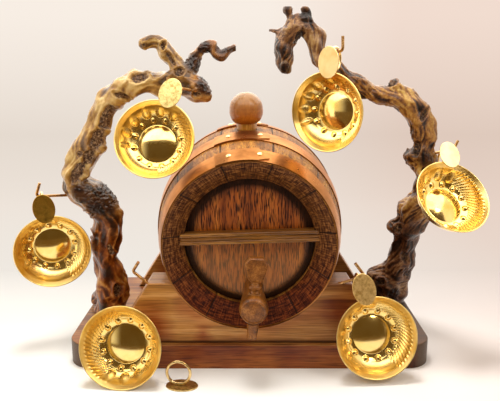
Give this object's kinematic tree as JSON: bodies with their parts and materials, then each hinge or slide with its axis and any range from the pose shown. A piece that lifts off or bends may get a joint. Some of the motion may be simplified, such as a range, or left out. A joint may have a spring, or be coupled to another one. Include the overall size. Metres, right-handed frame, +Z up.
{
  "type": "cask liquor dispenser",
  "caption": "Small oak cask on a plank stand that pours spirits through a wooden front tap, between two vine limbs that carry hanging tasting cups.",
  "frame": {"origin": "centre of the base board's underside, which stands on the table", "axes": "+X to the right as one faces the tap, +Y to the back, so the tap points to -Y, +Z up"},
  "size_m": [0.5221, 0.2852, 0.3807],
  "materials": {
    "board_wood": "varnished",
    "cradle_wood": "varnished",
    "oak_staves": "varnished",
    "head_wood": "varnished",
    "hoop_copper": "polished copper",
    "rivet_brass": "polished",
    "knob_wood": "varnished",
    "tap_wood": "satin",
    "cork": "cork",
    "vine_left_wood": "varnished",
    "vine_right_wood": "varnished",
    "screw_steel": "plain",
    "hook_wire": "polished",
    "cup_brass": "polished"
  },
  "bodies": {
    "stand": {"base_board": "board_wood", "cradle_screws": "screw_steel", "front_chime_hoop": "hoop_copper", "front_cradle": "cradle_wood", "front_head": "head_wood", "front_hoop_rivets": "rivet_brass", "front_quarter_hoop": "hoop_copper", "head_crossbar": "head_wood", "hook_low_left": "hook_wire", "hook_low_right": "hook_wire", "hook_mid_left": "hook_wire", "hook_mid_right": "hook_wire", "hook_top_left": "hook_wire", "hook_top_right": "hook_wire", "rear_chime_hoop": "hoop_copper", "rear_cradle": "cradle_wood", "rear_head": "head_wood", "rear_hoop_rivets": "rivet_brass", "rear_quarter_hoop": "hoop_copper", "stave_01": "oak_staves", "stave_02": "oak_staves", "stave_03": "oak_staves", "stave_04": "oak_staves", "stave_05": "oak_staves", "stave_06": "oak_staves", "stave_07": "oak_staves", "stave_08": "oak_staves", "stave_09": "oak_staves", "stave_10": "oak_staves", "stave_11": "oak_staves", "tap_body": "tap_wood", "tap_cork_sleeve": "cork", "tap_spout": "tap_wood", "vine_left": "vine_left_wood", "vine_right": "vine_right_wood", "vine_screws": "screw_steel"},
    "tap_key": {"tap_key": "tap_wood"},
    "bung": {"bung_knob": "knob_wood", "bung_plug": "knob_wood"},
    "cup_top_left": {"cup_top_left_bowl": "cup_brass", "cup_top_left_plate": "cup_brass", "cup_top_left_ring": "cup_brass"},
    "cup_mid_left": {"cup_mid_left_bowl": "cup_brass", "cup_mid_left_plate": "cup_brass", "cup_mid_left_ring": "cup_brass"},
    "cup_top_right": {"cup_top_right_bowl": "cup_brass", "cup_top_right_plate": "cup_brass", "cup_top_right_ring": "cup_brass"},
    "cup_mid_right": {"cup_mid_right_bowl": "cup_brass", "cup_mid_right_plate": "cup_brass", "cup_mid_right_ring": "cup_brass"},
    "cup_low_right": {"cup_low_right_bowl": "cup_brass", "cup_low_right_plate": "cup_brass", "cup_low_right_ring": "cup_brass"},
    "cup_loose": {"cup_loose_bowl": "cup_brass"},
    "loose_handle": {"loose_handle_ring": "cup_brass", "loose_handle_plate": "cup_brass"}
  },
  "joints": [
    {"name": "tap_key_turn", "type": "hinge", "parent": "stand", "child": "tap_key", "pos_m": [0.00416, -0.13155, 0.07959], "axis": [0.0593, -0.0696, 0.9958], "continuous": true},
    {"name": "bung_lift", "type": "slide", "parent": "stand", "child": "bung", "axis": [-0.0314, -0.0697, 0.9971], "range_m": [0, 0.045]},
    {"name": "cup_top_left_swing", "type": "hinge", "parent": "stand", "child": "cup_top_left", "pos_m": [-0.08, -0.0515, 0.2965], "axis": [-0.7592, -0.6272, 0.1736], "range_deg": [-30, 18]},
    {"name": "cup_mid_left_swing", "type": "hinge", "parent": "stand", "child": "cup_mid_left", "pos_m": [-0.2325, -0.0465, 0.176], "axis": [-0.7362, -0.6686, 0.1045], "range_deg": [-60, 38]},
    {"name": "cup_top_right_swing", "type": "hinge", "parent": "stand", "child": "cup_top_right", "pos_m": [0.09, -0.0585, 0.3335], "axis": [0.5969, -0.8016, 0.0349], "range_deg": [-60, 12]},
    {"name": "cup_mid_right_swing", "type": "hinge", "parent": "stand", "child": "cup_mid_right", "pos_m": [0.2195, -0.0335, 0.2245], "axis": [0.9752, -0.1371, 0.1736], "range_deg": [-18, 0]},
    {"name": "cup_low_right_swing", "type": "hinge", "parent": "stand", "child": "cup_low_right", "pos_m": [0.113, -0.1145, 0.103], "axis": [0.7532, -0.5041, 0.4226], "range_deg": [-24, 4]},
    {"name": "loose_cup_lift", "type": "slide", "parent": "stand", "child": "cup_loose", "axis": [0, 0, 1], "range_m": [0, 0.05]},
    {"name": "loose_handle_lift", "type": "slide", "parent": "stand", "child": "loose_handle", "axis": [0, 0, 1], "range_m": [0, 0.05]}
  ]
}
